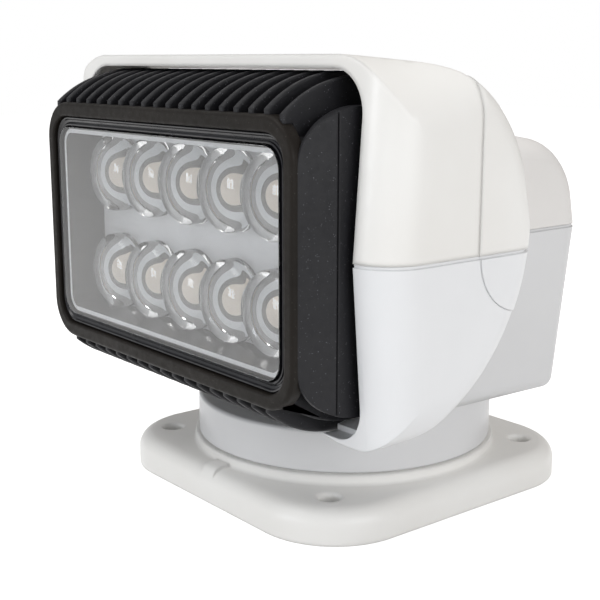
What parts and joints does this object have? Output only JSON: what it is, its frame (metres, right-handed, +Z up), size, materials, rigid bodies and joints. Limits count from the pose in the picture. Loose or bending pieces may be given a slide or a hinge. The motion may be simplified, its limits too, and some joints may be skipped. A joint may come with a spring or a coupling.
{
  "type": "marine searchlight",
  "caption": "Remote-controlled marine searchlight: a finned LED lamp in a tilting white hood on a motorised turntable that pans on a square deck base.",
  "frame": {"origin": "centre of the deck base at its underside, on the pan axis", "axes": "+Z up along the pan axis, the lamp faces -Y, and +X is along the tilt axis"},
  "size_m": [0.2096, 0.1671, 0.175],
  "materials": {
    "white_plastic": "satin",
    "black_coating": "fine speckled powder coat",
    "clear_plastic": "clear and polished",
    "silver_plate": "matte light grey",
    "steel": "stainless, brushed",
    "bronze": "plain bearing bronze",
    "black_rubber": "matte",
    "nylon": "natural nylon",
    "circuit_board": "circuit board lacquer"
  },
  "bodies": {
    "base": {"base_flange": "white_plastic", "pan_gear": "nylon", "spindle": "steel", "thrust_washer": "nylon", "spindle_nut": "steel", "cable_grommet": "black_rubber"},
    "turntable": {"lower_housing": "white_plastic", "upper_housing": "white_plastic", "housing_seal_front": "black_rubber", "housing_seal_rear": "black_rubber", "hub_bush": "bronze", "drive_chassis": "steel", "pan_gearbox": "steel", "pan_motor": "steel", "tilt_gearbox": "steel", "tilt_motor": "steel", "pivot_bush_right": "bronze", "pivot_bush_left": "bronze", "control_board": "circuit_board", "antenna": "steel", "housing_screw_1": "steel", "housing_screw_2": "steel", "housing_screw_3": "steel", "housing_screw_4": "steel"},
    "pan_pinion": {"pan_pinion": "steel"},
    "tilt_pinion": {"tilt_pinion": "steel"},
    "head": {"hood_upper": "white_plastic", "hood_band_right": "white_plastic", "hood_band_left": "white_plastic", "hood_lower_right": "white_plastic", "hood_lower_left": "white_plastic", "pivot_cover_right": "white_plastic", "pivot_cover_left": "white_plastic", "lamp_housing": "black_coating", "lens": "clear_plastic", "lens_gasket": "black_rubber", "optic_tray": "silver_plate", "led_board": "silver_plate", "optic_01": "clear_plastic", "optic_02": "clear_plastic", "optic_03": "clear_plastic", "optic_04": "clear_plastic", "optic_05": "clear_plastic", "optic_06": "clear_plastic", "optic_07": "clear_plastic", "optic_08": "clear_plastic", "optic_09": "clear_plastic", "optic_10": "clear_plastic", "pivot_arm_right": "steel", "pivot_arm_left": "steel", "pivot_shaft_right": "steel", "pivot_shaft_left": "steel", "tilt_gear": "nylon", "shaft_collar": "steel"}
  },
  "joints": [
    {"name": "pan", "type": "hinge", "parent": "base", "child": "turntable", "pos_m": [0, 0, 0], "axis": [0, 0, 1], "range_deg": [-185, 185]},
    {"name": "tilt", "type": "hinge", "parent": "turntable", "child": "head", "pos_m": [0, -0.0106, 0.1085], "axis": [-1, 0, 0], "range_deg": [-10, 90]},
    {"name": "pan_pinion_spin", "type": "hinge", "parent": "turntable", "child": "pan_pinion", "pos_m": [-0.02676, 0.01545, 0.0215], "axis": [0, 0, 1], "range_deg": [-560, 560]},
    {"name": "tilt_pinion_spin", "type": "hinge", "parent": "turntable", "child": "tilt_pinion", "pos_m": [0.0666, 0.00926, 0.08483], "axis": [-1, 0, 0], "range_deg": [-275, 35]}
  ],
  "couplings": [
    {"joint": "pan_pinion_spin", "follows": "pan", "ratio": 3},
    {"joint": "tilt_pinion_spin", "follows": "tilt", "ratio": -3}
  ]
}
